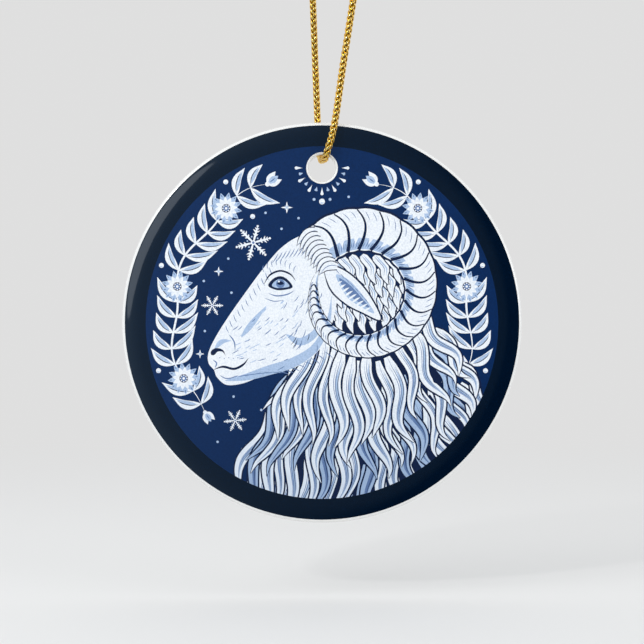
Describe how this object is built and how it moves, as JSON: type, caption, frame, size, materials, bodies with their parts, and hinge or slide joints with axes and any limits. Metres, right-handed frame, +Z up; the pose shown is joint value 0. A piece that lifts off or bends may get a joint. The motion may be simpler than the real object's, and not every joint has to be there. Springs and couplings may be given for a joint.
{
  "type": "ram christmas ornament",
  "caption": "Flat round glazed ceramic ornament with a printed ram on its face, hung by a hole near its edge on a knotted loop of gold cord.",
  "frame": {"origin": "the crown of the cord's loop, where a branch or a hook bears", "axes": "+Z up along the hanging cord, the printed face towards -Y, +X to the right of someone who looks at the face"},
  "size_m": [0.0747, 0.0087, 0.1427],
  "materials": {
    "glazed_disc": "glossy clear glaze over a navy, white and pale blue print, white body at the edge and back",
    "gold_cord": "braided metallic gold thread"
  },
  "bodies": {
    "root": {"ceramic_disc": "glazed_disc", "hanging_cord": "gold_cord", "cord_knot": "gold_cord"}
  },
  "joints": []
}
